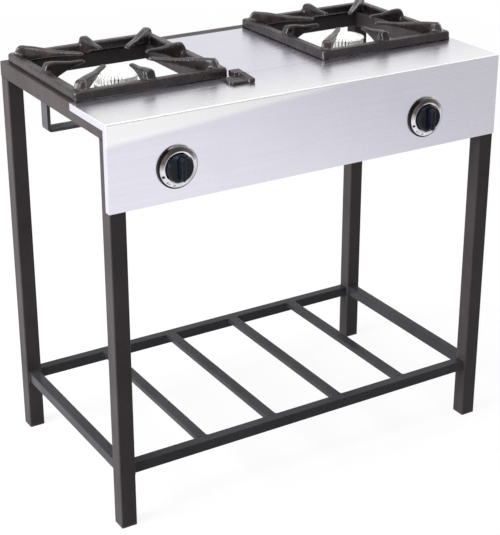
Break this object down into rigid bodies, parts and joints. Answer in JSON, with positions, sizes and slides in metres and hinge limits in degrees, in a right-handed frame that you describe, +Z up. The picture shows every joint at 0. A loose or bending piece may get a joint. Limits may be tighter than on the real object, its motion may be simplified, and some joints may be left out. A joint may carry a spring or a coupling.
{
  "type": "stock pot range",
  "caption": "Open-frame gas stock pot range: square-tube stand with a low bar shelf, cast grates over round burners, and a folded stainless control panel with knobs.",
  "frame": {"origin": "on the floor, at the middle of the outline seen from above", "axes": "+X to the right as seen from the front, +Y to the back, +Z up; the control panel faces -Y"},
  "size_m": [0.8, 0.467, 0.783],
  "materials": {
    "frame_paint": "grey silver enamel over square tube, satin",
    "shelf_paint": "grey silver enamel, satin",
    "bracket_paint": "grey silver enamel, satin",
    "plug_plastic": "black moulded plastic",
    "stainless_sheet": "stainless sheet with a fine brushed grain along its length",
    "grate_stop_iron": "cast, dark and slightly rough",
    "grate_iron": "cast, black enamel with a soft sheen",
    "burner_alloy": "as cast, fine grain",
    "cap_alloy": "cast and machined, pale",
    "tube_steel": "zinc plated pressed steel",
    "dial_metal": "plated pressing, satin bright",
    "knob_plastic": "black moulded plastic, glossy",
    "brass": "turned and forged brass",
    "valve_cover_alloy": "die cast, fine grain",
    "stem_steel": "turned steel",
    "zinc_steel": "zinc plated steel",
    "pipe_alloy": "drawn tube, smooth"
  },
  "bodies": {
    "root": {"burner_body_left": "burner_alloy", "burner_body_right": "burner_alloy", "burner_bolts": "zinc_steel", "burner_bracket_left": "bracket_paint", "burner_bracket_right": "bracket_paint", "centre_panel": "stainless_sheet", "control_panel": "stainless_sheet", "dial_left": "dial_metal", "dial_right": "dial_metal", "gas_inlet_elbow": "brass", "gas_pipe_left": "pipe_alloy", "gas_pipe_right": "pipe_alloy", "grate_stop": "grate_stop_iron", "injectors": "brass", "leg_end_plugs": "plug_plastic", "leg_front_left": "frame_paint", "leg_front_right": "frame_paint", "leg_rear_left": "frame_paint", "leg_rear_right": "frame_paint", "manifold": "zinc_steel", "manifold_end_plug": "zinc_steel", "manifold_hangers": "bracket_paint", "manifold_nuts": "zinc_steel", "manifold_u_bolts": "zinc_steel", "mixing_tube_left": "tube_steel", "mixing_tube_right": "tube_steel", "panel_cleats": "bracket_paint", "pipe_nuts": "brass", "seat_rail_front": "frame_paint", "seat_rail_left": "frame_paint", "seat_rail_right": "frame_paint", "shelf_bar_1": "shelf_paint", "shelf_bar_2": "shelf_paint", "shelf_bar_3": "shelf_paint", "shelf_bar_4": "shelf_paint", "shelf_rail_front": "shelf_paint", "shelf_rail_left": "shelf_paint", "shelf_rail_rear": "shelf_paint", "shelf_rail_right": "shelf_paint", "small_screws": "zinc_steel", "stem_springs": "stem_steel", "top_rail_front": "frame_paint", "top_rail_left": "frame_paint", "top_rail_rear": "frame_paint", "top_rail_right": "frame_paint", "valve_body_left": "brass", "valve_body_right": "brass", "valve_covers": "valve_cover_alloy"},
    "valve_plug_left": {"valve_plug_left": "brass"},
    "knob_left": {"knob_left": "knob_plastic", "valve_stem_left": "stem_steel"},
    "air_shutter_left": {"air_shutter_left": "tube_steel"},
    "burner_cap_left": {"burner_cap_left": "cap_alloy"},
    "grate_left": {"grate_left": "grate_iron"},
    "valve_plug_right": {"valve_plug_right": "brass"},
    "knob_right": {"knob_right": "knob_plastic", "valve_stem_right": "stem_steel"},
    "air_shutter_right": {"air_shutter_right": "tube_steel"},
    "burner_cap_right": {"burner_cap_right": "cap_alloy"},
    "grate_right": {"grate_right": "grate_iron"}
  },
  "joints": [
    {"name": "knob_turn_left", "type": "hinge", "parent": "root", "child": "valve_plug_left", "pos_m": [-0.275, -0.2075, 0.659], "axis": [0, -1, 0], "range_deg": [0, 180]},
    {"name": "knob_push_left", "type": "slide", "parent": "valve_plug_left", "child": "knob_left", "axis": [0, 1, 0], "range_m": [0, 0.0025], "stiffness_N_per_m": 600},
    {"name": "air_shutter_turn_left", "type": "hinge", "parent": "root", "child": "air_shutter_left", "pos_m": [-0.246, -0.043, 0.685], "axis": [0, 1, 0], "range_deg": [0, 45]},
    {"name": "burner_cap_lift_left", "type": "slide", "parent": "root", "child": "burner_cap_left", "axis": [0, 0, 1], "range_m": [0, 0.012]},
    {"name": "grate_lift_left", "type": "slide", "parent": "root", "child": "grate_left", "axis": [0, 0, 1], "range_m": [0, 0.06]},
    {"name": "knob_turn_right", "type": "hinge", "parent": "root", "child": "valve_plug_right", "pos_m": [0.234, -0.2075, 0.659], "axis": [0, -1, 0], "range_deg": [0, 180]},
    {"name": "knob_push_right", "type": "slide", "parent": "valve_plug_right", "child": "knob_right", "axis": [0, 1, 0], "range_m": [0, 0.0025], "stiffness_N_per_m": 600},
    {"name": "air_shutter_turn_right", "type": "hinge", "parent": "root", "child": "air_shutter_right", "pos_m": [0.246, -0.043, 0.685], "axis": [0, 1, 0], "range_deg": [0, 45]},
    {"name": "burner_cap_lift_right", "type": "slide", "parent": "root", "child": "burner_cap_right", "axis": [0, 0, 1], "range_m": [0, 0.012]},
    {"name": "grate_lift_right", "type": "slide", "parent": "root", "child": "grate_right", "axis": [0, 0, 1], "range_m": [0, 0.06]}
  ]
}
